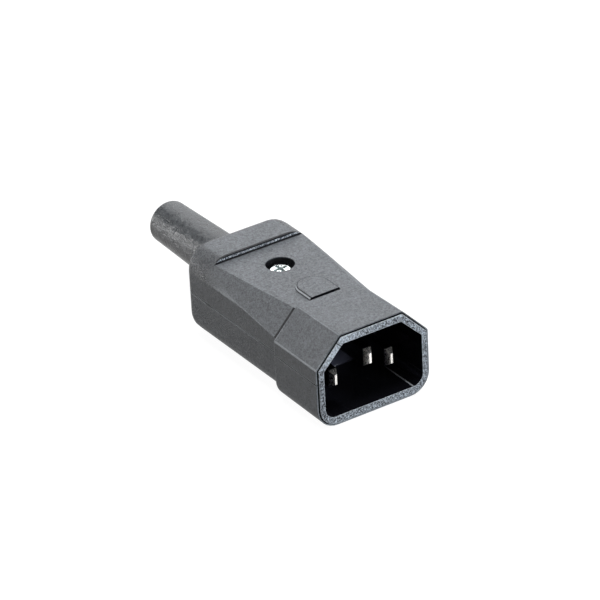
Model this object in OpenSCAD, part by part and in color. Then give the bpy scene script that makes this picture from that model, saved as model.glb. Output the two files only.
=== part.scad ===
// Rewireable in-line appliance plug, C14 pattern: two half shells screwed together round a pin
// carrier with three blade contacts, a cord clamp and a flexible cord boot.
// X runs out of the socket's mouth and Z is up. The plug rests on the plane z = 0, and its
// origin is in the middle of its footprint.

/* [Socket] */
// Width of the socket's opening
socket_w = 24.5; // [23.5:0.1:25.5]
// Height of the socket's opening
socket_h = 16.5; // [15.5:0.1:17.5]
// Depth of the socket behind its rim
socket_depth = 17.1; // [16.5:0.1:19]
// Size of the bevels on the socket's upper corners
socket_bevel = 5; // [4.6:0.1:5.6]
// Radius of the socket's lower corners
socket_corner_r = 2.5; // [1.5:0.1:3]

/* [Pin carrier] */
// Wall of the carrier beside the socket
carrier_side = 0.9; // [0.8:0.05:1.4]
// Wall of the carrier under the socket
carrier_floor = 1.35; // [1:0.05:1.6]
// Wall of the carrier over the socket
carrier_roof = 1.25; // [1:0.05:1.6]
// Wall of the carrier behind its shoulder, where the housing is narrower
carrier_neck = 0.35; // [0.3:0.05:0.45]
// Thickness of the socket's back wall
carrier_base = 3; // [2.5:0.1:4]
// Thickness of the carrier's rim
bezel_t = 1; // [0.8:0.1:1.6]
// Bevel on the rim's outer edge
bezel_edge = 0.1; // [0.05:0.05:0.2]
// Distance that the rim stands out of the shells
bezel_proud = 0.3; // [0.1:0.05:0.5]
// Clearance round the rim
bezel_gap = 0.25; // [0.15:0.05:0.3]
// Clearance between the carrier and the shells
carrier_gap = 0.1; // [0.05:0.01:0.15]

/* [Terminal tray] */
// Length of the tray behind the socket's back wall
tray_l = 8.5; // [8.2:0.1:10]
// Thickness of the tray's outer walls and floor
tray_wall = 1.2; // [1:0.1:1.4]
// Height of the tray's partitions over the terminals' floor
tray_wall_h = 7.5; // [6:0.1:8]
// Space beside each terminal block
bay_gap = 0.5; // [0.4:0.05:0.6]
// Radius of the tray's lower corners
tray_corner_r = 3; // [2.6:0.1:3.2]
// Space between the socket's back wall and the ends of the wires
wire_stop = 1.5; // [1:0.1:2]

/* [Contacts] */
// Thickness of a blade
blade_w = 2; // [1.8:0.05:2.1]
// Height of a blade
blade_h = 4; // [3.6:0.1:4.2]
// Distance between the line and neutral blades
blade_pitch = 14; // [13.7:0.1:14.3]
// Height of the line and neutral blades over the socket's floor
blade_rise = 6.1; // [5.8:0.1:6.4]
// Height of the earth blade over the other two
earth_rise = 3.8; // [3.6:0.1:4.2]
// Length of the line and neutral blades in the socket
blade_l = 13.5; // [12.5:0.1:13.9]
// Extra length of the earth blade, which has to mate first
earth_extra = 2.6; // [2:0.1:3]
// Length of the taper at a blade's tip
blade_tip = 1.3; // [0.8:0.1:1.8]
// Width of the flat end of a blade
tip_w = 0.5; // [0.4:0.1:1]
// Height of the flat end of a blade
tip_h = 2.3; // [2:0.1:3]
// Clearance round a blade in the back wall
blade_gap = 0.05; // [0.03:0.01:0.1]
// Length of a terminal block
block_l = 7; // [6.5:0.1:7.5]
// Width of a terminal block
block_w = 5; // [4.8:0.1:5.2]
// Height of a terminal block
block_h = 6.5; // [6.2:0.1:6.8]
// Radius of the hole for a wire
wire_r = 1.4; // [1.2:0.05:1.6]
// Thickness of a wire guard
guard_t = 0.3; // [0.2:0.05:0.4]
// Radius of a terminal screw
terminal_screw_r = 1.45; // [1.2:0.05:1.5]
// Radius of a terminal screw's head
terminal_head_r = 2.2; // [2:0.05:2.3]
// Height of a terminal screw's head
terminal_head_h = 1.3; // [1:0.1:1.5]
// Width of the slot in a terminal screw's head
driver_slot = 0.6; // [0.4:0.1:0.8]

/* [Housing] */
// Thickness of the shells round the carrier
collar_skin = 0.75; // [0.65:0.05:1]
// Thickness of the shells' lip round the rim
collar_lip = 0.25; // [0.2:0.05:0.35]
// Length of the collar behind the rim
collar_l = 16.1; // [15.5:0.1:16.5]
// Taper of the collar's sides and top towards its back
collar_draft = 0.2; // [0:0.05:0.25]
// Thickness of the inner shoulder at the collar's back
collar_shoulder = 1.2; // [1:0.1:1.5]
// Width of the collar's upper bevels
collar_bevel_w = 6.15; // [5.8:0.05:6.5]
// Height of the collar's upper bevels
collar_bevel_h = 6.4; // [6.1:0.05:6.8]
// Radius of the collar's lower edges
collar_corner_r = 4.8; // [3.5:0.1:5]
// Rounding of the bevels' edges
soft_r = 0.9; // [0.4:0.1:1.4]
// Step from the collar down to the rear body
collar_step = 0.85; // [0.6:0.05:0.9]
// Step from the collar's bevels down to the side facets
facet_step = 0.5; // [0.3:0.05:0.6]
// Height of the rear body over the plane that the collar rests on
body_lift = 0.6; // [0.4:0.05:0.8]
// Thickness of the rear body's walls
shell_wall = 1.6; // [1.4:0.1:1.8]
// Thickness of the rear body's end wall
back_wall = 2; // [1.6:0.1:2.6]
// Radius of the rear body's long edges
body_edge_r = 5.4; // [4.8:0.1:5.6]
// Radius of the rear body's upright back corners, seen from above
back_corner_r = 2.7; // [2.2:0.1:3.5]
// Rounding of the back face's upper and lower edges
back_edge_r = 2; // [1:0.1:2.2]
// Length of the raised pad at the back
pad_l = 9.1; // [8.5:0.1:10.5]
// Height of the pad over the plateau
pad_rise = 1.15; // [0.8:0.05:1.4]
// Depth of the shadow line between the shells
seam = 0.12; // [0.05:0.01:0.2]
// Length of the open gap at the front end of the shadow line
notch_l = 1.8; // [1:0.1:3]
// Height of that gap
notch_h = 0.2; // [0.1:0.05:0.3]

/* [Latch hood] */
// Width of the D-shaped hood
hood_w = 7.7; // [7:0.1:8.5]
// Length of the hood
hood_l = 8.25; // [7.5:0.1:9]
// Height of the hood over the plateau
hood_rise = 0.7; // [0.5:0.05:0.9]
// Thickness of the hood's roof
hood_roof = 0.28; // [0.2:0.01:0.35]
// Slope of the hood's side, as it narrows to the top
hood_draft = 0.35; // [0.2:0.05:0.45]
// Slot between the hood and the collar
hood_slot = 0.85; // [0.6:0.05:1.1]
// Wall left at each end of the slot
hood_side = 0.6; // [0.5:0.05:0.8]
// Clearance round the carrier's latch
latch_gap = 0.3; // [0.2:0.05:0.4]

/* [Cover screw] */
// Radius of the screw's thread
screw_r = 1.45; // [1.2:0.05:1.6]
// Clearance round the screw and the thread's play in the nut
screw_gap = 0.05; // [0.03:0.01:0.1]
// Radius of the screw's head
head_r = 2.75; // [2.5:0.05:2.9]
// Height of the screw's head
head_h = 2; // [1.6:0.1:2.2]
// Height of the head's rounded crown
crown_h = 0.8; // [0.5:0.1:1.2]
// Width of the head's rounded crown on each side
crown_w = 0.9; // [0.6:0.1:1.2]
// Depth of the head's top under the plateau
head_sink = 1.1; // [0.8:0.1:2]
// Radius of the screw's well
well_r = 3.15; // [3:0.05:3.4]
// Radius of the screw's pillars
pillar_r = 4.7; // [4.5:0.1:4.9]
// Free space in front of the pillars
pillar_front_gap = 0.6; // [0.4:0.1:1]
// Width of the square nut across its flats
nut_w = 5.5; // [5:0.1:5.8]
// Thickness of the nut
nut_t = 1.8; // [1.6:0.1:2.4]
// Plastic over the nut that the screw pulls on
nut_cover = 3; // [2.4:0.1:3.6]
// Clearance round the nut
nut_gap = 0.1; // [0.05:0.01:0.15]
// Room left in a screw hole beyond the thread's end
end_room = 0.5; // [0.3:0.1:0.8]

// Length of the screw's thread beyond the nut
screw_beyond = 1.2; // [0.8:0.1:1.6]

/* [Cord clamp] */
// Length of the clamp along the cord
clamp_l = 5; // [4.4:0.1:6]
// Thickness of the clamp's ears and saddle
clamp_t = 1.8; // [1.4:0.1:2]
// Distance between the clamp's screws
clamp_pitch = 16.4; // [16:0.1:16.8]
// Radius of the clamp's ears and posts
clamp_ear_r = 2.5; // [2.3:0.05:2.6]
// Radius of a clamp screw's thread
clamp_screw_r = 1.3; // [1.1:0.05:1.4]
// Radius of a clamp screw's head
clamp_head_r = 2.3; // [2:0.05:2.4]
// Height of a clamp screw's head
clamp_head_h = 1.6; // [1.2:0.1:1.8]
// Depth that a clamp screw bites into its post
clamp_bite = 6; // [5:0.1:7]
// Free space between the pillars and the clamp
clamp_front_gap = 1.9; // [1.2:0.1:3]
// Free space between the clamp and the boot's flange
clamp_back_gap = 1.8; // [1.3:0.1:3]
// Thickness of the ribs across the shells
rib_t = 1.1; // [0.8:0.1:1.2]

/* [Cord boot] */
// Height of the cord's axis over the shells' parting plane
cord_lift = 0.3; // [0:0.05:0.3]
// Radius of the hole for the cord
cord_r = 3.75; // [3:0.05:4]
// Radius of the boot where it leaves the housing
boot_root_r = 5.55; // [5.3:0.05:6]
// Radius of the boot's free end
boot_end_r = 4.9; // [4.6:0.1:5.2]
// Length of the boot outside the housing
boot_l = 27.6; // [20:0.1:40]
// Rounding of the boot's free end
boot_round = 0.7; // [0.3:0.05:0.8]
// Radius of the boot's flange inside the housing
flange_r = 7.2; // [6.8:0.1:7.6]
// Thickness of the boot's flange
flange_t = 2; // [1.6:0.1:2.6]
// Clearance between the boot and the housing's hole
boot_gap = 0.05; // [0.03:0.01:0.15]

/* [Hidden] */
// Places along the plug are distances back from the rim
carrier_inset = collar_skin + carrier_gap;
collar_w = socket_w + 2 * (carrier_side + carrier_inset);
socket_z = carrier_floor + carrier_inset;
collar_h = socket_z + socket_h + carrier_roof + carrier_inset;
shoulder_at = collar_l - collar_shoulder;
rim_seat_at = bezel_t + carrier_gap;
carrier_back = socket_depth + carrier_base;
tray_back = carrier_back + tray_l;
screw_at = tray_back + pillar_front_gap + pillar_r;
clamp_front = screw_at + pillar_r + clamp_front_gap;
clamp_at = clamp_front + clamp_l / 2;
flange_at = clamp_front + clamp_l + clamp_back_gap;
cavity_back = flange_at + flange_t;
body_l = cavity_back + back_wall;
riser_at = body_l - pad_l;
overall_l = body_l + boot_l;

// Heights and half widths of the rear body
body_half = collar_w / 2 - collar_step;
body_z = body_lift;
plateau_z = collar_h - collar_step;
pad_z = plateau_z + pad_rise;
parting_z = (body_z + pad_z) / 2;
cord_z = parting_z + cord_lift;
inner_z = body_z + shell_wall;

// Contacts and their tray
line_z = socket_z + blade_rise;
earth_z = line_z + earth_rise;
bay_half = block_w / 2 + bay_gap;
tray_half = blade_pitch / 2 + bay_half + tray_wall;
line_floor = line_z - block_h / 2;
earth_floor = earth_z - block_h / 2;
thread_play = 0.05;
screw_lift = 0.4;
terminal_at = carrier_back + (wire_stop + block_l + 2 * thread_play) / 2;

// Latch, from the carrier's back to the hood's slot
hood_at = collar_l + hood_slot;
latch_back = carrier_back - 2 * latch_gap;
hood_z = plateau_z + hood_rise;
pocket_half = hood_w / 2 - hood_side;
latch_top = plateau_z - collar_skin;

// Cover screw
head_top = plateau_z - head_sink;
head_seat = head_top - head_h;
nut_top = parting_z - nut_cover;
screw_end = nut_top - nut_t - screw_beyond;

// Recesses in the screws' heads: shares of the head's radius, then the marks between the arms
recess_arm = 0.58;
recess_slot = 0.14;
recess_deep = 0.45;
tick_from = 0.75;
tick_l = 0.8;
tick_w = 0.16;
tick_deep = 0.15;

// Cord clamp
clamp_z = parting_z;
saddle_r = cord_r + clamp_t;

tiny = 0.01;
far = 200;
arc_steps = 8;
soft_steps = 3;
fine = 64;

shell_colour = [0.21, 0.22, 0.24];
carrier_colour = [0.16, 0.17, 0.19];
boot_colour = [0.17, 0.18, 0.20];
nickel = [0.78, 0.77, 0.74];
zinc = [0.80, 0.82, 0.84];

// The arc that rounds corner p between points a and b of a path that turns left
function rounded_corner(a, p, b, r, steps) =
    let (
        u = (a - p) / norm(a - p),
        v = (b - p) / norm(b - p),
        half = acos(u * v) / 2,
        centre = p + (u + v) / norm(u + v) * r / sin(half),
        start = p + u * r / tan(half) - centre,
        from = atan2(start[1], start[0])
    )
    [for (i = [0:steps])
        let (turn = from + (180 - 2 * half) * i / steps)
        centre + r * [cos(turn), sin(turn)]];

// A closed path with each corner rounded by its own [radius, steps]
function rounded_path(p, rounding) =
    let (n = len(p))
    [for (i = [0:n - 1])
        each rounded_corner(p[(i + n - 1) % n], p[i], p[(i + 1) % n], rounding[i][0], rounding[i][1])];

// Section with rounded lower corners and bevelled upper ones, drawn in by inset on every side
function bevelled_section(half, low, high, bevel, low_r, top_r, inset) =
    let (
        n = [bevel[1], bevel[0]] / norm(bevel),
        reach = n * [half - bevel[0], high] - inset,
        side = half - inset,
        top = high - inset,
        top_y = (reach - n[1] * top) / n[0],
        side_z = (reach - n[0] * side) / n[1],
        low_c = [max(low_r - inset, 0.3), arc_steps],
        top_c = [top_r, soft_steps]
    )
    rounded_path(
        [[-side, low + inset], [side, low + inset], [side, side_z], [top_y, top],
         [-top_y, top], [-side, side_z]],
        [low_c, low_c, top_c, top_c, top_c, top_c]);

// The collar's section, narrower and lower by taper, with its underside kept level
function collar_section(inset, taper = 0) =
    bevelled_section(collar_w / 2 - taper, 0, collar_h - taper, [collar_bevel_w, collar_bevel_h],
                     collar_corner_r, max(soft_r - inset, 0.3), inset);

function socket_section(inset) =
    bevelled_section(socket_w / 2, socket_z, socket_z + socket_h, [socket_bevel, socket_bevel],
                     socket_corner_r, 0.3, inset);

// A rectangle with round corners, for the rear body
function body_section(half, low, high, r) =
    let (c = [r, arc_steps])
    rounded_path([[-half, low], [half, low], [half, high], [-half, high]], [c, c, c, c]);

// Moves a piece from the rim's frame to the plug's own
module place() {
    translate([overall_l / 2, 0, 0]) children();
}

// A section in Y and Z, run along the plug between two distances back from the rim
module along(front, back, section) {
    translate([-back, 0, 0]) rotate([90, 0, 90])
        linear_extrude(back - front) polygon(section);
}

// A block between two distances back, two widths and two heights
module block(front, back, y0, y1, z0, z1) {
    translate([-back, y0, z0]) cube([back - front, y1 - y0, z1 - z0]);
}

// A round bar along the plug
module bar(front, back, r, z) {
    translate([-back, 0, z]) rotate([0, 90, 0]) cylinder(h = back - front, r = r, $fn = fine);
}

// An upright round bar
module post(at, y, z0, z1, r) {
    translate([-at, y, z0]) cylinder(h = z1 - z0, r = r, $fn = fine);
}

// A solid through rings of as many points each, every ring running left as seen from the first
module loft(rings) {
    n = len(rings[0]);
    last = (len(rings) - 1) * n;
    polyhedron(
        points = [for (ring = rings) each ring],
        faces = concat(
            [[for (i = [n - 1:-1:0]) i]],
            [for (k = [0:n:last - n]) for (i = [0:n - 1])
                let (j = (i + 1) % n)
                each [[k + i, k + j, k + n + j], [k + i, k + n + j, k + n + i]]],
            [[for (i = [0:n - 1]) last + i]]));
}

// A section in Y and Z, set as a ring at a distance back from the rim
function ring_at(at, section) = [for (p = section) [-at, p[0], p[1]]];

// Everything on the outer side of the plane through a that faces along n
module beyond(a, n) {
    translate(a) rotate([0, acos(n[2] / norm(n)), atan2(n[1], n[0])])
        translate([-far / 2, -far / 2, 0]) cube(far);
}

// Cuts a side facet: the plane from the riser's end to the edge of the collar's bevel
module facet_cut(inset) {
    n = [collar_bevel_h, collar_bevel_w] / norm([collar_bevel_w, collar_bevel_h]);
    reach = n * [collar_w / 2 - collar_bevel_w, collar_h] - facet_step;
    drop = plateau_z - (pad_z - body_edge_r);
    p = [-collar_l, (reach - n[1] * plateau_z) / n[0], plateau_z];
    q = [-collar_l, body_half, (reach - n[0] * body_half) / n[1]];
    end_y = body_half - body_edge_r + sqrt(pow(body_edge_r, 2) - pow(drop, 2));
    a = [-riser_at, end_y, plateau_z];
    normal = cross(a - p, q - p);
    outward = normal * (normal[2] < 0 ? -1 : 1) / norm(normal);
    for (flip = [0, 1]) mirror([0, flip, 0])
        beyond(a - outward * inset, outward);
}

// Rear body, drawn in by inset on every side: a long rounded box with a soft back end, cut down
// to the plateau in front of the pad and by a facet on each side
module body_form(inset, front, back) {
    half = body_half - inset;
    low = body_z + inset;
    high = pad_z - inset;
    corner = back_corner_r - inset;
    edge = max(back_edge_r - inset, 0.3);
    difference() {
        loft(concat(
            [ring_at(front, body_section(half, low, high, body_edge_r - inset))],
            [for (t = [0:15:90])
                let (
                    s = corner * (1 - sin(t)),
                    in_y = corner * (1 - cos(t)),
                    in_z = s < edge ? edge - sqrt(pow(edge, 2) - pow(edge - s, 2)) : 0
                )
                ring_at(back - s, body_section(half - in_y, low + in_z, high - in_z,
                                               body_edge_r - inset - (in_y + in_z) / 2))]));
        block(-far, riser_at + inset, -far, far, plateau_z - inset, far);
        facet_cut(inset);
    }
}

// Outside of the two shells together, drawn in by inset
module housing_form(inset) {
    loft([ring_at(bezel_proud, collar_section(inset)),
          ring_at(collar_l, collar_section(inset, collar_draft))]);
    body_form(inset, collar_l - tiny, body_l - inset);
}

// The part of its children above or below the parting plane
module upper_half(z) {
    intersection() {
        children();
        block(-far, far, -far, far, z, far);
    }
}

module lower_half(z) {
    difference() {
        children();
        block(-far, far, -far, far, z, far);
    }
}

// D-shaped outline of the hood at height z, drawn in by inset at its side and round end
function hood_ring(z, inset) =
    let (r = hood_w / 2 - inset, centre = hood_at + hood_l - hood_w / 2)
    concat(
        [[-hood_at, -r, z], [-hood_at, r, z]],
        [for (t = [90:10:270]) [r * cos(t) - centre, r * sin(t), z]]);

module hood() {
    loft([hood_ring(hood_z, hood_draft), hood_ring(plateau_z, 0),
          hood_ring(plateau_z - shell_wall / 2, 0)]);
}

// Space for the carrier, the terminals, the clamp and the boot
module housing_hollow() {
    along(-1, rim_seat_at, collar_section(collar_lip));
    along(0, shoulder_at, collar_section(collar_skin));
    along(0, carrier_back + carrier_gap, socket_section(-carrier_neck - carrier_gap));
    difference() {
        body_form(shell_wall, carrier_back, cavity_back);
        block(flange_at - carrier_gap - rib_t, flange_at - carrier_gap, -far, far, -far, far);
    }
    bar(clamp_at, far, boot_root_r + boot_gap, cord_z);
}

module upper_shell() color(shell_colour) place() {
    difference() {
        union() {
            difference() {
                union() {
                    upper_half(parting_z + seam) housing_form(0);
                    upper_half(parting_z) housing_form(seam);
                    hood();
                }
                housing_hollow();
            }
            post(screw_at, 0, parting_z, plateau_z - shell_wall / 2, pillar_r);
        }
        post(screw_at, 0, head_seat, far, well_r);
        post(screw_at, 0, parting_z - 1, head_seat + 1, screw_r + screw_gap);
        block(collar_l, latch_back + latch_gap, -pocket_half, pocket_half,
              socket_z + socket_h, hood_z - hood_roof);
        block(0, bezel_proud + notch_l, -far, far, parting_z - tiny, parting_z + notch_h);
    }
}

module lower_shell() color(shell_colour) place() {
    difference() {
        union() {
            difference() {
                lower_half(parting_z) housing_form(0);
                housing_hollow();
            }
            post(screw_at, 0, inner_z - shell_wall / 2, parting_z, pillar_r);
            for (side = [-1, 1])
                post(clamp_at, side * clamp_pitch / 2, inner_z - shell_wall / 2, clamp_z, clamp_ear_r);
            cord_cradle();
        }
        post(screw_at, 0, screw_end - end_room, far, screw_r + screw_gap);
        nut_slot();
        for (side = [-1, 1])
            post(clamp_at, side * clamp_pitch / 2, clamp_z - clamp_bite - end_room, far,
                 clamp_screw_r + screw_gap);
    }
}

// Rib under the cord, between the clamp's posts
module cord_cradle() {
    reach = clamp_pitch / 2;
    difference() {
        block(clamp_at - rib_t, clamp_at + rib_t, -reach, reach, inner_z - shell_wall / 2,
              clamp_z - 1);
        bar(0, far, cord_r + carrier_gap, cord_z);
    }
}

// Slot in the lower pillar that the nut slides into from behind
module nut_slot() {
    half = nut_w / 2 + nut_gap;
    block(screw_at - half, screw_at + pillar_r + 1, -half, half,
          nut_top - nut_t - nut_gap, nut_top);
}

module pin_carrier() color(carrier_colour) place() {
    difference() {
        union() {
            bezel();
            along(tiny, shoulder_at - carrier_gap, collar_section(carrier_inset));
            along(tiny, carrier_back, socket_section(-carrier_neck));
            latch();
            terminal_tray();
        }
        along(-1, socket_depth, socket_section(0));
        for (side = [-1, 1]) blade_slot(side * blade_pitch / 2, line_z);
        blade_slot(0, earth_z);
    }
}

// Rim of the carrier, with a bevel on its outer edge
module bezel() {
    inset = collar_lip + bezel_gap;
    loft([ring_at(0, collar_section(inset + bezel_edge)), ring_at(bezel_edge, collar_section(inset)),
          ring_at(bezel_t, collar_section(inset))]);
}

// Nib on the carrier's back that locks into the hood's pocket
module latch() {
    half = pocket_half - latch_gap;
    block(hood_at + latch_gap, latch_back, -half, half, socket_z + socket_h, latch_top);
}

module blade_slot(y, z) {
    half_w = blade_w / 2 + blade_gap;
    half_h = blade_h / 2 + blade_gap;
    block(socket_depth - 1, tray_back, y - half_w, y + half_w, z - half_h, z + half_h);
}

// Floors, partitions and outer walls for the three terminal blocks
module terminal_tray() {
    low = line_floor - tray_wall;
    top = line_floor + tray_wall_h;
    root = carrier_back - carrier_base / 2;
    inner = bay_half;
    outer = blade_pitch / 2 - bay_half;
    intersection() {
        along(root, tray_back, body_section(tray_half, low, top + body_edge_r, tray_corner_r));
        union() {
            block(root, tray_back, -tray_half, tray_half, low, line_floor);
            block(root, tray_back, -inner - tiny, inner + tiny, low, earth_floor);
            for (side = [-1, 1]) scale([1, side, 1]) {
                block(root, tray_back, inner, outer, low, earth_floor + tray_wall_h / 2);
                block(root, tray_back, tray_half - tray_wall, tray_half + tiny, low, top);
            }
        }
    }
}

// Blade with a tapered tip, and the terminal block at its root
module contact(y, z, length) {
    tip = socket_depth - length;
    difference() {
        union() {
            intersection() {
                translate([0, y, z - blade_h / 2]) linear_extrude(blade_h)
                    polygon(tip_outline(tip, blade_w / 2, tip_w / 2));
                translate([0, y + blade_w / 2, z]) rotate([90, 0, 0]) linear_extrude(blade_w)
                    polygon(tip_outline(tip, blade_h / 2, tip_h / 2));
            }
            block(carrier_back + thread_play, carrier_back + thread_play + block_l,
                  y - block_w / 2, y + block_w / 2, z - block_h / 2 + thread_play, z + block_h / 2);
        }
        translate([0, y, 0]) bar(carrier_back + wire_stop, far, wire_r, z);
        post(terminal_at, y, z, far, terminal_screw_r + thread_play);
    }
}

function tip_outline(tip, half, end) =
    [[-carrier_back - 1, -half], [-tip - blade_tip, -half], [-tip, -end],
     [-tip, end], [-tip - blade_tip, half], [-carrier_back - 1, half]];

module line_contact() color(nickel) place() contact(-blade_pitch / 2, line_z, blade_l);

module neutral_contact() color(nickel) place() contact(blade_pitch / 2, line_z, blade_l);

module earth_contact() color(nickel) place() contact(0, earth_z, blade_l + earth_extra);

// The three terminals' [y, z] places
terminals = [[-blade_pitch / 2, line_z], [0, earth_z], [blade_pitch / 2, line_z]];

module terminal_screws() color(zinc) place() for (t = terminals) {
    seat = t[1] + block_h / 2 + screw_lift;
    difference() {
        union() {
            post(terminal_at, t[0], t[1] + wire_r / 3, seat, terminal_screw_r);
            post(terminal_at, t[0], seat, seat + terminal_head_h, terminal_head_r);
        }
        block(0, far, t[0] - driver_slot / 2, t[0] + driver_slot / 2, seat + terminal_head_h / 2, far);
    }
}

// Leaf in each wire hole, bent up over the block's back face
module wire_guards() color(nickel) place() for (t = terminals) {
    back = carrier_back + block_l + 2 * thread_play;
    low = t[1] - wire_r / 2;
    half = wire_r / 2;
    block(terminal_at - terminal_screw_r, back + guard_t, t[0] - half, t[0] + half, low, low + guard_t);
    block(back, back + guard_t, t[0] - half, t[0] + half, low, t[1] + wire_r + 1);
}

module cable_clamp() color(carrier_colour) place() difference() {
    union() {
        upper_half(clamp_z) bar(clamp_front, clamp_front + clamp_l, saddle_r, cord_z);
        block(clamp_front, clamp_front + clamp_l, -clamp_pitch / 2, clamp_pitch / 2,
              clamp_z, clamp_z + clamp_t);
        for (side = [-1, 1])
            post(clamp_at, side * clamp_pitch / 2, clamp_z, clamp_z + clamp_t, clamp_ear_r);
    }
    bar(0, far, cord_r + carrier_gap, cord_z);
    for (side = [-1, 1])
        post(clamp_at, side * clamp_pitch / 2, 0, far, clamp_screw_r + screw_gap);
}

module clamp_screws() color(zinc) place() for (side = [-1, 1]) {
    y = side * clamp_pitch / 2;
    seat = clamp_z + clamp_t;
    post(clamp_at, y, clamp_z - clamp_bite, seat, clamp_screw_r);
    difference() {
        post(clamp_at, y, seat, seat + clamp_head_h, clamp_head_r);
        cross_recess(clamp_at, y, seat + clamp_head_h, clamp_head_r);
    }
}

// Cross-shaped recess in a screw's head, with its sizes in proportion to the head
module cross_recess(at, y, top, r) {
    arm = recess_arm * r;
    slot = recess_slot * r;
    for (turn = [0, 90])
        translate([-at, y, top]) rotate([0, 0, turn]) translate([-arm, -slot, -recess_deep * r])
            cube([2 * arm, 2 * slot, r]);
}

module cord_boot() color(boot_colour) place()
    translate([0, 0, cord_z]) rotate([0, -90, 0]) rotate_extrude($fn = fine)
        polygon(concat(
            [[cord_r, flange_at], [flange_r, flange_at], [flange_r, cavity_back],
             [boot_root_r, cavity_back], [boot_root_r, body_l]],
            [for (t = [0:15:90])
                [boot_end_r - boot_round * (1 - cos(t)), overall_l - boot_round * (1 - sin(t))]],
            [[cord_r, overall_l]]));

module cover_screw() color(zinc) place() difference() {
    union() {
        post(screw_at, 0, screw_end, head_seat, screw_r);
        translate([-screw_at, 0, head_seat]) rotate_extrude($fn = fine)
            polygon(concat(
                [[0, 0], [head_r, 0]],
                [for (t = [0:15:90])
                    [head_r - crown_w * (1 - cos(t)), head_h - crown_h * (1 - sin(t))]],
                [[0, head_h]]));
    }
    cross_recess(screw_at, 0, head_top, head_r);
    for (turn = [45:90:315])
        translate([-screw_at, 0, head_top]) rotate([0, 0, turn])
            translate([tick_from, -tick_w / 2, -tick_deep]) cube([tick_l, tick_w, head_h]);
}

module cover_nut() color(zinc) place() difference() {
    block(screw_at - nut_w / 2, screw_at + nut_w / 2, -nut_w / 2, nut_w / 2, nut_top - nut_t, nut_top);
    post(screw_at, 0, 0, far, screw_r + screw_gap);
}

upper_shell();
lower_shell();
pin_carrier();
line_contact();
neutral_contact();
earth_contact();
terminal_screws();
wire_guards();
cable_clamp();
clamp_screws();
cord_boot();
cover_screw();
cover_nut();
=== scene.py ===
import bpy
from math import radians
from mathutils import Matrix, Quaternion, Vector


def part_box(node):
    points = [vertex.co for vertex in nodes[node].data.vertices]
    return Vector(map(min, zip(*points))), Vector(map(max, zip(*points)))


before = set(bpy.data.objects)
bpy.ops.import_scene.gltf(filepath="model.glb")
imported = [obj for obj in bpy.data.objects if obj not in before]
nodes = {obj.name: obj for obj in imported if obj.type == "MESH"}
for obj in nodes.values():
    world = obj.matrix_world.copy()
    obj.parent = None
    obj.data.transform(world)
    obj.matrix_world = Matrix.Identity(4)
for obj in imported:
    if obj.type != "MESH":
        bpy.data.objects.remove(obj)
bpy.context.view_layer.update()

# The look of a rewireable C14 plug: procedural materials for the CAD's pieces, a white floor,
# lamps and the camera. X runs out of the socket's mouth, Z is up, and the unit is the metre.
scene = bpy.context.scene
scene.view_settings.view_transform = "Standard"
MM = 0.001
UP = (0.0, 0.0, 1.0)
FORWARD = (1.0, 0.0, 0.0)


# ------------------------------------------------------------ places on the plug
rim_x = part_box("pin_carrier")[1][0]
upper_low, upper_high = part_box("upper_shell")
side_y = upper_high[1]
parting_z = upper_low[2]
riser_h = 1.15 * MM
riser_x = upper_low[0] + 9.1 * MM
plateau_z = upper_high[2] - riser_h
step_x = rim_x - 16.1 * MM
socket_back_x = rim_x - 17.1 * MM
socket_side_y = 12.25 * MM

screw_low, screw_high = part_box("cover_screw")
screw_x = (screw_low[0] + screw_high[0]) / 2
well_r = 3.15 * MM

hood_arc_x = step_x - 5.25 * MM
hood_arc_r = 3.42 * MM
hood_x = step_x - 5.1 * MM
hood_rise = 0.7 * MM
slot_x = step_x - 0.35 * MM


# ------------------------------------------------------------ colours shared by the plastics
# The last three colours paint highlights and glints, and BLACK also paints shade
BLACK = (0.004, 0.004, 0.006)
EDGE = (0.46, 0.49, 0.52)
PALE = (0.66, 0.7, 0.74)
GLINT = (0.9, 0.95, 1.0)


def scaled(colour, factor):
    return tuple(factor * part for part in colour)


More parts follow.
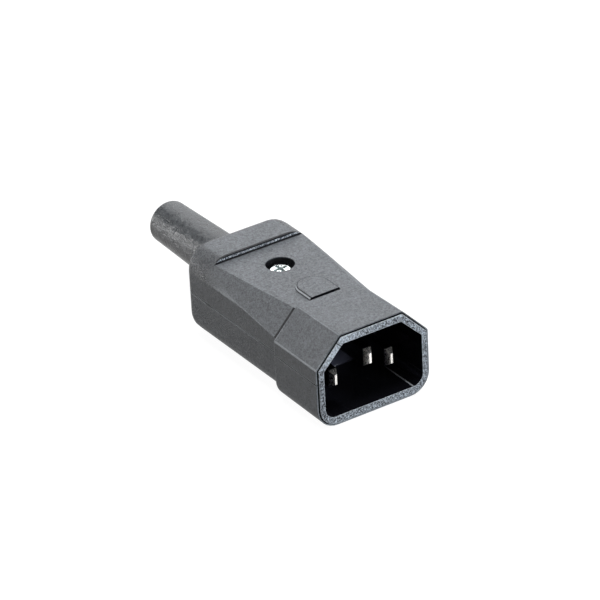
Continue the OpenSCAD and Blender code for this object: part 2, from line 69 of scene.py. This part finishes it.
# ------------------------------------------------------------ node helpers
class Graph:
    """A material's node tree, with short calls for the nodes used here."""

    def __init__(self, name):
        self.mat = bpy.data.materials.new(name)
        self.mat.use_nodes = True
        self.tree = self.mat.node_tree
        self.tree.nodes.clear()
        self.out = self.add("ShaderNodeOutputMaterial")
        self.space = self.add("ShaderNodeTexCoord").outputs["Object"]
        place = self.add("ShaderNodeSeparateXYZ")
        self.join(self.space, place.inputs[0])
        self.x, self.y, self.z = place.outputs

    def add(self, kind, **values):
        node = self.tree.nodes.new(kind)
        for key, value in values.items():
            setattr(node, key, value)
        return node

    def join(self, start, end):
        self.tree.links.new(start, end)

    def put(self, value, socket):
        """Sets a socket to a number or a colour, or links an output to it."""
        if isinstance(value, (int, float)):
            socket.default_value = value
        elif isinstance(value, tuple):
            socket.default_value = value + (1.0,)
        else:
            self.join(value, socket)

    # Arithmetic
    def maths(self, what, a, b=0.0):
        node = self.add("ShaderNodeMath", operation=what)
        self.put(a, node.inputs[0])
        self.put(b, node.inputs[1])
        return node.outputs[0]

    def fold(self, what, values):
        result = values[0]
        for value in values[1:]:
            result = self.maths(what, result, value)
        return result

    def total(self, *values):
        return self.fold("ADD", values)

    def product(self, *values):
        return self.fold("MULTIPLY", values)

    def largest(self, *values):
        return self.fold("MAXIMUM", values)

    def without(self, mask, other):
        """The mask where the other one is 0."""
        return self.largest(self.maths("SUBTRACT", mask, other), 0.0)

    def span(self, value, low, high, to_low=0.0, to_high=1.0):
        """Maps low to high onto to_low to to_high and holds its ends."""
        node = self.add("ShaderNodeMapRange")
        node.inputs["From Min"].default_value = low
        node.inputs["From Max"].default_value = high
        node.inputs["To Min"].default_value = to_low
        node.inputs["To Max"].default_value = to_high
        self.join(value, node.inputs["Value"])
        return node.outputs["Result"]

    def near(self, value, middle, reach, fade):
        """1 where value is within reach of middle, falling to 0 over fade."""
        gap = self.maths("ABSOLUTE", self.maths("SUBTRACT", value, middle))
        return self.span(gap, reach, reach + fade, 1.0, 0.0)

    def radius(self, along):
        """Distance from an upright axis, where along is the distance in X."""
        squares = self.total(self.maths("POWER", along, 2.0), self.maths("POWER", self.y, 2.0))
        return self.maths("SQRT", squares)

    def mix(self, factor, a, b):
        node = self.add("ShaderNodeMix", data_type="RGBA")
        self.put(factor, node.inputs[0])
        self.put(a, node.inputs[6])
        self.put(b, node.inputs[7])
        return node.outputs[2]

    # Patterns
    def noise(self, size, detail=2.0, rough=0.5, stretch=None):
        """Noise with cells of about that size."""
        node = self.add("ShaderNodeTexNoise")
        node.inputs["Scale"].default_value = 1.0 / size
        node.inputs["Detail"].default_value = detail
        node.inputs["Roughness"].default_value = rough
        vector = self.space
        if stretch:
            mapping = self.add("ShaderNodeMapping")
            mapping.inputs["Scale"].default_value = stretch
            self.join(vector, mapping.inputs["Vector"])
            vector = mapping.outputs["Vector"]
        self.join(vector, node.inputs["Vector"])
        return node.outputs["Fac"]

    def cells(self, size):
        """Distance to the middle of the nearest cell, in cells."""
        node = self.add("ShaderNodeTexVoronoi", feature="F1")
        node.inputs["Scale"].default_value = 1.0 / size
        self.join(self.space, node.inputs["Vector"])
        return node.outputs["Distance"]

    # Shape of the surface
    def dot(self, a, b):
        node = self.add("ShaderNodeVectorMath", operation="DOT_PRODUCT")
        self.join(a, node.inputs[0])
        if isinstance(b, tuple):
            node.inputs[1].default_value = b
        else:
            self.join(b, node.inputs[1])
        return node.outputs["Value"]

    def facing(self, axis, normal="True Normal"):
        """How squarely the surface faces an axis, -1 to 1."""
        plain = self.add("ShaderNodeNewGeometry")
        return self.dot(plain.outputs[normal], axis)

    def openness(self, reach):
        """Share of the directions that nothing blocks within reach."""
        node = self.add("ShaderNodeAmbientOcclusion", samples=8)
        node.inputs["Distance"].default_value = reach
        return node.outputs["AO"]

    def crevice(self, reach, shut_at=0.55, open_at=0.85):
        """1 in the bottom of a groove, step or hole, 0 in the open."""
        return self.span(self.openness(reach), shut_at, open_at, 1.0, 0.0)

    def convex(self, radius, sharp=0.95, blunt=0.998):
        """1 on a sharp outer edge, 0 on a flat or in a groove."""
        bevel = self.add("ShaderNodeBevel", samples=8)
        bevel.inputs["Radius"].default_value = radius
        plain = self.add("ShaderNodeNewGeometry")
        likeness = self.dot(bevel.outputs["Normal"], plain.outputs["True Normal"])
        edge = self.span(likeness, sharp, blunt, 1.0, 0.0)
        return self.product(edge, self.span(self.openness(radius), 0.85, 0.97))

    def soft_edges(self, radius):
        node = self.add("ShaderNodeBevel", samples=6)
        node.inputs["Radius"].default_value = radius
        return node.outputs["Normal"]

    def bump(self, height, strength, distance, normal):
        node = self.add("ShaderNodeBump")
        node.inputs["Strength"].default_value = strength
        node.inputs["Distance"].default_value = distance
        self.join(height, node.inputs["Height"])
        self.join(normal, node.inputs["Normal"])
        return node.outputs["Normal"]

    def surface(self, colour, rough, normal, **fixed):
        shader = self.add("ShaderNodeBsdfPrincipled")
        self.put(colour, shader.inputs["Base Color"])
        self.put(rough, shader.inputs["Roughness"])
        self.join(normal, shader.inputs["Normal"])
        for name, value in fixed.items():
            shader.inputs[name.replace("_", " ")].default_value = value
        self.join(shader.outputs[0], self.out.inputs["Surface"])
        return self.mat


# ------------------------------------------------------------ moulded shells
def edge_highlights(g, colour, fine):
    """Painted highlights on sharp outer edges, from the front to the middle and not over the flat
    tops.
    """
    # Behind the collar the low wall is so thin that its inside would count as an edge
    clear_of_thin_wall = g.largest(g.span(g.x, step_x - 0.3 * MM, step_x - 0.1 * MM),
                                   g.span(g.z, 7 * MM, 7.5 * MM))
    edge_highlight = g.product(g.convex(0.4 * MM), clear_of_thin_wall,
                       g.span(g.z, 16 * MM, 18 * MM, 1.0, 0.0),
                       g.span(g.x, rim_x - 42 * MM, rim_x - 36 * MM),
                       g.span(fine, 0.35, 0.6, 0.35, 1.0))
    return g.mix(edge_highlight, colour, EDGE)


def collar_highlights(g, colour, tone, light, slope):
    """Painted highlights in bands along the two roundings of the collar's bevels."""
    on_collar = g.span(g.x, step_x, step_x + 0.3 * MM)
    lower = g.product(g.near(slope, 0.4, 0.16, 0.12), on_collar)
    upper = g.product(g.near(slope, 0.87, 0.05, 0.04), on_collar, 0.4)
    return g.mix(g.largest(lower, upper), colour, g.mix(tone, light, EDGE))


def join_shade_and_highlights(g, colour):
    """Painted shade in grooves and the lip gap, and a painted highlight on the parting line in
    places and on the lip on the far and low sides.
    """
    parting = g.product(g.near(g.z, parting_z, 0.12 * MM, 0.1 * MM),
                        g.span(g.x, rim_x - 20 * MM, rim_x - 24 * MM),
                        g.span(g.noise(9 * MM), 0.42, 0.5))
    front = g.span(g.x, rim_x - 0.75 * MM, rim_x - 0.65 * MM)
    far_or_low = g.largest(g.span(g.y, side_y - 0.8 * MM, side_y - 0.6 * MM),
                           g.span(g.z, 1.0 * MM, 1.2 * MM, 1.0, 0.0))
    lit = g.largest(parting, g.product(front, far_or_low))
    lip_gap_shade = g.product(front, g.span(g.facing(FORWARD), 0.4, 0.6),
                        g.crevice(0.35 * MM, 0.7, 0.8))
    groove = g.largest(g.without(g.crevice(0.7 * MM), front), lip_gap_shade)
    return g.mix(g.without(groove, lit), g.mix(lit, colour, EDGE), BLACK)


def step_and_well_shade(g, colour, slope):
    """Painted shadow under the step, on top and bevels, and painted shade on the wall of the
    screw's well.
    """
    step = g.product(g.near(g.x, step_x - 0.4 * MM, 0.36 * MM, 0.06 * MM),
                     g.near(slope, 0.65, 0.28, 0.02))
    from_screw = g.radius(g.maths("SUBTRACT", g.x, screw_x))
    well = g.product(g.span(from_screw, well_r * 1.02, well_r * 1.05, 1.0, 0.0),
                     g.span(g.z, plateau_z - 0.3 * MM, plateau_z - 0.1 * MM, 1.0, 0.0),
                     g.span(g.z, 4 * MM, 5 * MM))
    return g.mix(g.largest(well, step), colour, BLACK)


def riser(g, colour, fine):
    """The pad's front face, painted black as shade with a band of painted glints, and painted
    shade in lines over and under it.
    """
    face = g.product(g.near(g.x, riser_x, 0.2 * MM, 0.05 * MM),
                     g.span(g.facing(FORWARD), 0.6, 0.8))
    band = g.near(g.z, plateau_z + 0.5 * riser_h, 0.16 * riser_h, 0.06 * riser_h)
    glints = g.mix(g.span(fine, 0.46, 0.56), (0.02, 0.03, 0.05), GLINT)
    colour = g.mix(face, colour, g.mix(band, BLACK, glints))
    brow_shade = g.product(g.near(g.x, riser_x - 0.28 * MM, 0.26 * MM, 0.04 * MM),
                     g.span(g.z, plateau_z + 0.3 * riser_h, plateau_z + 0.4 * riser_h),
                     g.span(g.facing(FORWARD), 0.4, 0.5, 1.0, 0.0))
    foot_shade = g.product(g.near(g.x, riser_x + 0.12 * MM, 0.14 * MM, 0.04 * MM),
                     g.near(g.z, plateau_z, 0.05 * MM, 0.03 * MM))
    return g.mix(g.largest(brow_shade, foot_shade), colour, BLACK)


def hood(g, colour, tone):
    """Painted shade on the latch hood's side with a painted highlight in the middle of its
    height, and painted shade in its slot and along its upper edge.
    """
    over_hood = g.product(g.near(g.x, hood_x, 4.6 * MM, 0.1 * MM),
                          g.near(g.y, 0.0, 4.2 * MM, 0.1 * MM))
    # Painted shade on the hood's side, with a painted highlight along the middle of its height
    side = g.product(over_hood, g.near(g.z, plateau_z + 0.36 * MM, 0.3 * MM, 0.02 * MM))
    side_lit = g.near(g.z, plateau_z + 0.38 * MM, 0.15 * MM, 0.03 * MM)
    colour = g.mix(side, colour, g.mix(side_lit, BLACK, g.mix(tone, EDGE, PALE)))

    # Painted shade in the slot
    slot = g.product(g.near(g.x, slot_x, 0.62 * MM, 0.05 * MM),
                     g.near(g.y, 0.0, 3.8 * MM, 0.05 * MM),
                     g.near(g.z, plateau_z - 1.5 * MM, 2.1 * MM, 0.04 * MM))
    colour = g.mix(slot, colour, BLACK)

    # Painted shade along the hood's upper edge
    behind_arc = g.maths("MINIMUM", g.maths("SUBTRACT", g.x, hood_arc_x), 0.0)
    upper_edge_shade = g.product(over_hood,
                           g.near(g.radius(behind_arc), hood_arc_r, 0.08 * MM, 0.03 * MM),
                           g.near(g.z, plateau_z + hood_rise, 0.03 * MM, 0.02 * MM))
    return g.mix(g.product(upper_edge_shade, 0.75), colour, BLACK)


def moulded(name, dark, light, relief):
    """Charcoal plastic with the grain of a spark-eroded mould, polished on the rounded back,
    where it is also painted darker as shade, with painted highlights on edges and painted shade
    in hollows.
    """
    g = Graph(name)
    grain = 0.3 * MM
    fine = g.noise(grain, 3.0, 0.7)
    coarse = g.noise(grain * 2.4, 2.0, 0.5)
    drift = g.noise(6 * MM, 3.0, 0.55)
    tone = g.total(g.span(fine, 0.36, 0.64, 0.1, 0.65), g.span(coarse, 0.38, 0.62, 0.0, 0.2),
                   g.span(drift, 0.3, 0.7, 0.0, 0.1))
    slope = g.facing(UP, "Normal")

    colour = edge_highlights(g, g.mix(tone, dark, light), fine)
    colour = collar_highlights(g, colour, tone, light, slope)
    colour = join_shade_and_highlights(g, colour)
    colour = step_and_well_shade(g, colour, slope)
    colour = riser(g, colour, fine)
    colour = hood(g, colour, tone)
    # Painted shade: sides and underside are a shade darker than the top
    colour = g.mix(g.span(slope, 0.05, 0.3, 0.16, 0.0), colour, BLACK)

    # Smoother on the rounded back, and painted darker there as shade
    polish_and_shade = g.product(g.span(slope, 0.08, 0.2), g.span(slope, 0.95, 0.985, 1.0, 0.0),
                       g.span(g.x, riser_x - 1 * MM, riser_x + 1.5 * MM, 1.0, 0.0))
    colour = g.mix(polish_and_shade, colour, g.mix(0.4, colour, BLACK))
    rough = g.maths("SUBTRACT", g.span(fine, 0.3, 0.7, 0.4, 0.6), g.product(polish_and_shade, 0.2))
    height = g.total(fine, g.product(coarse, 0.8))
    normal = g.bump(height, relief, 0.25 * MM, g.soft_edges(0.2 * MM))
    return g.surface(colour, rough, normal, Specular_IOR_Level=0.22, IOR=1.5)


# ------------------------------------------------------------ pin carrier
def carrier_rim(g, fine, spark):
    """The socket's rim, painted pale with painted glints, a painted highlight at one corner,
    painted shade on the near side and painted highlights on its edges, with the gate's mark
    across it.
    """
    drift = g.noise(2.5 * MM, 2.0, 0.5)
    corner_highlight = g.product(g.span(g.y, -2 * MM, -6 * MM), g.span(g.z, 12 * MM, 15 * MM))
    near_side_shade = g.span(g.y, -11.5 * MM, -12.5 * MM)
    tone = g.total(g.span(fine, 0.47, 0.55, 0.0, 0.6), g.span(spark, 0.2, 0.5, 0.4, 0.0),
                   g.span(drift, 0.3, 0.7, 0.0, 0.05), g.product(corner_highlight, 0.3),
                   g.product(near_side_shade, -0.2))
    colour = g.mix(tone, (0.008, 0.01, 0.016), (0.85, 0.92, 1.0))
    # Painted highlights on the rim's edges
    colour = g.mix(g.convex(0.18 * MM), colour, (0.8, 0.85, 0.9))
    on_bevel = g.product(g.span(g.y, -7 * MM, -6 * MM, 1.0, 0.0),
                         g.span(g.z, 13 * MM, 14 * MM))
    gate = g.product(on_bevel, g.near(g.total(g.y, g.z), 10.5 * MM, 0.12 * MM, 0.08 * MM))
    return g.mix(gate, colour, BLACK)


def socket_shade_and_highlights(g, fine):
    """Inner walls painted near black as shade, with painted light on the back wall and two
    painted highlights in lines on the far side.
    """
    wall_shade = (0.008, 0.008, 0.011)
    colour = g.mix(g.span(fine, 0.35, 0.65), scaled(wall_shade, 0.7), wall_shade)
    back = g.span(g.x, socket_back_x + 0.4 * MM, socket_back_x + 0.2 * MM)
    colour = g.mix(back, colour, scaled(wall_shade, 7.0))
    far_side = g.span(g.y, socket_side_y - 0.65 * MM, socket_side_y - 0.35 * MM)
    corner = g.product(far_side,
                       g.near(g.x, socket_back_x, 0.5 * MM, 0.2 * MM),
                       g.near(g.z, 15.5 * MM, 2.0 * MM, 0.5 * MM))
    floor_line_highlight = g.product(g.near(g.y, 9.8 * MM, 0.12 * MM, 0.1 * MM),
                           g.span(g.z, 3.0 * MM, 3.4 * MM, 1.0, 0.0),
                           g.span(g.x, rim_x - 11 * MM, rim_x - 7 * MM), 0.5)
    return g.mix(g.largest(corner, floor_line_highlight), colour, GLINT)


def carrier_plastic(name):
    """Plastic of the pin carrier: eroded on its rim, smooth behind it, with painted light on the
    rim and painted shade behind it.
    """
    g = Graph(name)
    grain = 0.3 * MM
    fine = g.noise(grain, 2.0, 0.7)
    spark = g.cells(grain * 1.2)
    on_rim = g.span(g.x, rim_x - 0.25 * MM, rim_x - 0.08 * MM)
    colour = g.mix(on_rim, socket_shade_and_highlights(g, fine), carrier_rim(g, fine, spark))
    rough = g.span(on_rim, 0.0, 1.0, 0.07, 0.45)
    height = g.product(g.total(fine, g.product(spark, 0.8)),
                       g.span(on_rim, 0.0, 1.0, 0.01, 1.0))
    normal = g.bump(height, 1.0, 0.3 * MM, g.soft_edges(0.12 * MM))
    return g.surface(colour, rough, normal, Specular_IOR_Level=0.45, IOR=1.5)


# ------------------------------------------------------------ boot and metals
def pvc(name, dark, light):
    """Softer plastic of the cord boot: satin and mottled, with painted shade in creases and
    underneath.
    """
    g = Graph(name)
    fine = g.noise(0.34 * MM, 3.0, 0.7)
    cloud = g.noise(1.1 * MM, 3.0, 0.65)
    tone = g.total(g.span(cloud, 0.36, 0.64, 0.0, 0.4), g.span(fine, 0.36, 0.64, 0.0, 0.6))
    # Painted shade in creases
    colour = g.mix(g.crevice(0.8 * MM), g.mix(tone, dark, light), BLACK)
    # Painted shade underneath
    under = g.span(g.facing(UP, "Normal"), -0.25, 0.2, 0.75, 0.0)
    colour = g.mix(under, colour, BLACK)
    rough = g.span(cloud, 0.3, 0.7, 0.26, 0.4)
    height = g.total(fine, g.product(cloud, 2.2))
    normal = g.bump(height, 0.5, 0.25 * MM, g.soft_edges(0.2 * MM))
    return g.surface(colour, rough, normal, Specular_IOR_Level=0.32, IOR=1.5)


def metal(name, dark, light, base_rough, relief, tip_x=None):
    """Plated metal, speckled but for its end face. With tip_x, all behind its tip is painted
    black as shade.
    """
    g = Graph(name)
    fine = g.noise(0.3 * MM, 3.0, 0.7)
    drawn = g.noise(0.1 * MM, 2.0, 0.5, (0.08, 1.0, 1.0))
    end_face = g.span(g.facing(FORWARD), 0.9, 0.97)
    colour = g.mix(g.without(g.span(fine, 0.53, 0.58), end_face), light, dark)
    # Painted shade behind the tip, inside the socket
    if tip_x is not None:
        colour = g.mix(g.span(g.x, tip_x - 1.5 * MM, tip_x - 1.1 * MM), BLACK, colour)
    rough = g.total(g.span(drawn, 0.3, 0.7, base_rough - 0.04, base_rough + 0.08),
                    g.product(end_face, -0.1))
    normal = g.bump(g.total(drawn, fine), relief, 0.06 * MM, g.soft_edges(0.12 * MM))
    return g.surface(colour, rough, normal, Metallic=1.0)


def blade_metal(name, piece):
    tip_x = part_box(piece)[1][0]
    return metal(name, (0.03, 0.03, 0.03), (0.95, 0.92, 0.88), base_rough=0.3, relief=0.8,
                 tip_x=tip_x)


# ------------------------------------------------------------ materials on the pieces
housing = moulded("housing_plastic", (0.029, 0.032, 0.036), (0.230, 0.245, 0.265), relief=0.75)
insert = carrier_plastic("insert_plastic")
clamp_plastic = moulded("inner_plastic", (0.05, 0.053, 0.058), (0.09, 0.094, 0.1), relief=0.5)
boot = pvc("boot_pvc", (0.022, 0.025, 0.028), (0.108, 0.117, 0.127))
blade = blade_metal("blade_nickel", "line_contact")
earth_blade = blade_metal("earth_nickel", "earth_contact")
nickel = metal("nickel", (0.3, 0.29, 0.28), (0.8, 0.78, 0.75), base_rough=0.28, relief=0.5)
zinc = metal("zinc_plate", (0.55, 0.60, 0.60), (0.88, 0.93, 0.93), base_rough=0.2, relief=0.4)

finish = {
    "upper_shell": housing,
    "lower_shell": housing,
    "pin_carrier": insert,
    "cable_clamp": clamp_plastic,
    "line_contact": blade,
    "neutral_contact": blade,
    "earth_contact": earth_blade,
    "wire_guards": nickel,
    "terminal_screws": zinc,
    "clamp_screws": zinc,
    "cord_boot": boot,
    "cover_screw": zinc,
    "cover_nut": zinc,
}
for name, material in finish.items():
    mesh = nodes[name].data
    if not mesh.materials:
        mesh.materials.append(material)
    for slot in nodes[name].material_slots:
        slot.material = material


# ------------------------------------------------------------ smooth shading
def rounded_shading(angle):
    """Geometry nodes that shade a welded mesh smooth except at edges sharper than angle."""
    tree = bpy.data.node_groups.new("rounded_shading", "GeometryNodeTree")
    tree.interface.new_socket("Geometry", in_out="INPUT", socket_type="NodeSocketGeometry")
    tree.interface.new_socket("Geometry", in_out="OUTPUT", socket_type="NodeSocketGeometry")
    start = tree.nodes.new("NodeGroupInput")
    weld = tree.nodes.new("GeometryNodeMergeByDistance")
    weld.inputs["Distance"].default_value = 0.0005 * MM
    clear = tree.nodes.new("GeometryNodeRemoveAttribute")
    clear.inputs["Name"].default_value = "custom_normal"
    faces = tree.nodes.new("GeometryNodeSetShadeSmooth")
    faces.domain = "FACE"
    edges = tree.nodes.new("GeometryNodeSetShadeSmooth")
    edges.domain = "EDGE"
    bend = tree.nodes.new("GeometryNodeInputMeshEdgeAngle")
    soft = tree.nodes.new("FunctionNodeCompare")
    soft.operation = "LESS_THAN"
    soft.inputs[1].default_value = angle
    end = tree.nodes.new("NodeGroupOutput")
    chain = (start, weld, clear, faces, edges, end)
    for first, second in zip(chain, chain[1:]):
        tree.links.new(first.outputs[0], second.inputs[0])
    tree.links.new(bend.outputs[0], soft.inputs[0])
    tree.links.new(soft.outputs[0], edges.inputs["Shade Smooth"])
    return tree


shading = rounded_shading(radians(30))
for name in finish:
    nodes[name].modifiers.new("rounded_shading", "NODES").node_group = shading
    weighted = nodes[name].modifiers.new("weighted_normals", "WEIGHTED_NORMAL")
    weighted.keep_sharp = True
    weighted.weight = 90


# ------------------------------------------------------------ floor and world
def white_floor(name, glow, albedo):
    """White to the eye and in reflections, but grey to other rays, and clear from below."""
    g = Graph(name)
    path = g.add("ShaderNodeLightPath")
    seen = g.largest(path.outputs["Is Camera Ray"], path.outputs["Is Glossy Ray"],
                     path.outputs["Is Transmission Ray"])
    grey = g.add("ShaderNodeBsdfDiffuse")
    g.put((0.1, 0.1, 0.1), grey.inputs["Color"])
    shadowed = g.add("ShaderNodeBsdfDiffuse")
    g.put((albedo, albedo, albedo), shadowed.inputs["Color"])
    light = g.add("ShaderNodeEmission")
    g.put(glow, light.inputs["Strength"])
    white = g.add("ShaderNodeAddShader")
    g.join(shadowed.outputs[0], white.inputs[0])
    g.join(light.outputs[0], white.inputs[1])

    def choose(factor, a, b):
        node = g.add("ShaderNodeMixShader")
        for start, socket in zip((factor, a, b), node.inputs):
            g.join(start, socket)
        return node.outputs[0]

    upper_side = choose(seen, grey.outputs[0], white.outputs[0])
    clear = g.add("ShaderNodeBsdfTransparent")
    side = g.add("ShaderNodeNewGeometry")
    both_sides = choose(side.outputs["Backfacing"], upper_side, clear.outputs[0])
    g.join(both_sides, g.out.inputs["Surface"])
    return g.mat


bpy.ops.mesh.primitive_plane_add(size=4.0, location=(0, 0, -0.02 * MM))
floor = bpy.context.object
floor.name = "floor"
floor.data.materials.append(white_floor("floor_white", 0.96, 0.12))

# The world is white to the camera and dim as a light
world = bpy.data.worlds.new("studio")
scene.world = world
world.use_nodes = True
tree = world.node_tree
tree.nodes.clear()
path = tree.nodes.new("ShaderNodeLightPath")
strength = tree.nodes.new("ShaderNodeMix")
strength.data_type = "FLOAT"
strength.inputs[2].default_value = 0.165
strength.inputs[3].default_value = 1.0
sky = tree.nodes.new("ShaderNodeBackground")
sky.inputs["Color"].default_value = (1, 1, 1, 1)
end = tree.nodes.new("ShaderNodeOutputWorld")
tree.links.new(path.outputs["Is Camera Ray"], strength.inputs[0])
tree.links.new(strength.outputs[0], sky.inputs["Strength"])
tree.links.new(sky.outputs[0], end.inputs["Surface"])


# ------------------------------------------------------------ lamps and camera
def lamp(name, direction, distance, size, power, aim=(0, 0, 0.01)):
    """A rectangular lamp, standing in that direction from the point it is aimed at."""
    data = bpy.data.lights.new(name, "AREA")
    data.shape = "RECTANGLE"
    data.size, data.size_y = size
    data.energy = power
    obj = bpy.data.objects.new(name, data)
    scene.collection.objects.link(obj)
    way = Vector(direction).normalized()
    obj.location = Vector(aim) + way * distance
    obj.rotation_euler = way.to_track_quat("Z", "Y").to_euler()
    return obj


lamp("back", (-0.73, 0.47, 0.5), distance=0.6, size=(0.5, 0.35), power=2.15)
lamp("key", UP, distance=1.0, size=(0.6, 0.6), power=9.7)
# A strip seen only in gloss, for the streak along the boot and the rounded shoulder
streak = lamp("streak", (-0.748, -0.662, 0.085), distance=0.5, size=(0.13, 0.08), power=2.2,
              aim=(-0.055, 0, 0.012))
streak.visible_diffuse = False
front = lamp("front", (0.86, 0.48, 0.14), distance=1.0, size=(0.35, 0.25), power=6.0)
front.data.color = (0.86, 0.93, 1.0)

data = bpy.data.cameras.new("camera")
data.sensor_width = 36.0
data.lens = 264.5
data.clip_start = 0.01
data.clip_end = 20.0
camera = bpy.data.objects.new("camera", data)
scene.collection.objects.link(camera)
camera.location = (rim_x + 651.38 * MM, -431.97 * MM, 470.52 * MM)
camera_aim = Vector((4.237 * MM, 5.337 * MM, 8.754 * MM))
level = (camera.location - camera_aim).to_track_quat("Z", "Y")
roll = Quaternion(UP, radians(-2.978))
camera.rotation_euler = (level @ roll).to_euler()
scene.camera = camera
